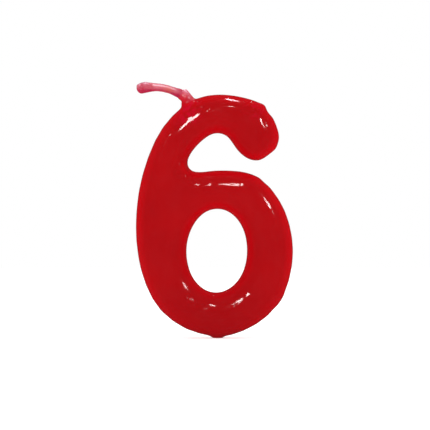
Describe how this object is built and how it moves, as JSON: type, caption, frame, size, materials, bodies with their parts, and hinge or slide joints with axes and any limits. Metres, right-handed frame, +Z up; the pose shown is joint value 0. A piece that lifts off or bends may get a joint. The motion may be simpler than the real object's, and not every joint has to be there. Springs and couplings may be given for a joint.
{
  "type": "number birthday candle",
  "caption": "Wax birthday candle shaped as the numeral 6, with a rounded body, a dipped gloss colour coat and a curled braided wick.",
  "frame": {"origin": "centre of the flat end of the drip at the foot, the point that goes into the cake first", "axes": "+Z up through the numeral, from its foot to its top; the numeral lies in the XZ plane and reads correctly from -Y with +X to the right; Y runs through its thickness"},
  "size_m": [0.0453, 0.0116, 0.0735],
  "materials": {
    "plain_wax": "undyed cast paraffin wax, satin",
    "red_wax": "dipped red paraffin wax, high gloss",
    "wick_wax": "thin translucent film of red wax on the wick, half gloss",
    "cotton": "braided cotton, matte"
  },
  "bodies": {
    "root": {"wax_core": "plain_wax", "colour_coat": "red_wax", "wick_film": "wick_wax", "wick_ply_1": "cotton", "wick_ply_2": "cotton", "wick_ply_3": "cotton"}
  },
  "joints": []
}
